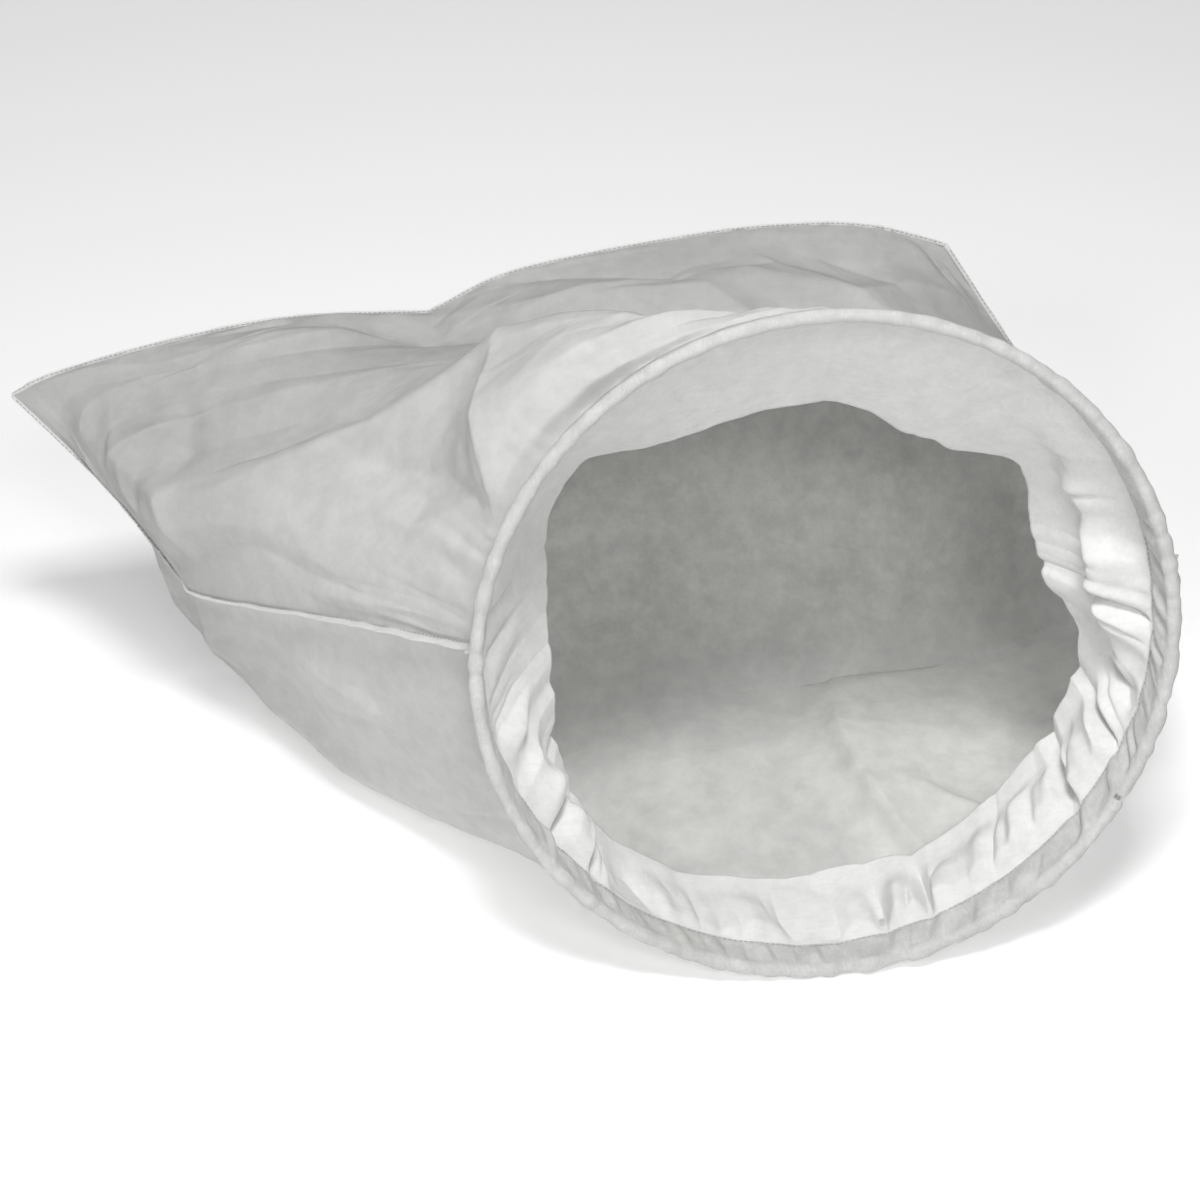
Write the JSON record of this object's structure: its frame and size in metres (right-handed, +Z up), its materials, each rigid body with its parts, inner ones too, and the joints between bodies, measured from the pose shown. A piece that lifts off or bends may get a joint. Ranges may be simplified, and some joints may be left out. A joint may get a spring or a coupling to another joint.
{
  "type": "dust collector filter bag",
  "caption": "White cloth filter bag lying on its side, its gathered mouth held round by a hoop in a stitched hem, two panels seamed at the sides and closed end.",
  "frame": {"origin": "on the floor plane, under the middle of the bounding box", "axes": "+X to the right seen from in front of the mouth, +Y back from the mouth to the closed end, +Z up"},
  "size_m": [0.8892, 0.5168, 0.4833],
  "materials": {
    "cloth": "thin off-white non-woven filter cloth, matt, cloudy fibres",
    "thread": "white sewing thread",
    "hoop_wire": "bare drawn wire",
    "ferrule": "crimped tube"
  },
  "bodies": {
    "bag": {"top_panel": "cloth", "bottom_panel": "cloth", "left_side_seam": "cloth", "right_side_seam": "cloth", "end_seam": "cloth", "left_seam_stitching": "thread", "right_seam_stitching": "thread", "end_seam_stitching": "thread"},
    "mouth": {"mouth_hem": "cloth", "inner_cuff": "cloth", "cuff_joint": "cloth", "hem_stitching": "thread", "hoop": "hoop_wire", "hoop_ferrule": "ferrule", "left_seam_end": "cloth", "right_seam_end": "cloth"}
  },
  "joints": [
    {"name": "mouth_push", "type": "slide", "parent": "bag", "child": "mouth", "axis": [0, 1, 0], "range_m": [0, 0.22], "deforming": ["top_panel", "bottom_panel", "left_side_seam", "right_side_seam", "left_seam_stitching", "right_seam_stitching"]}
  ]
}
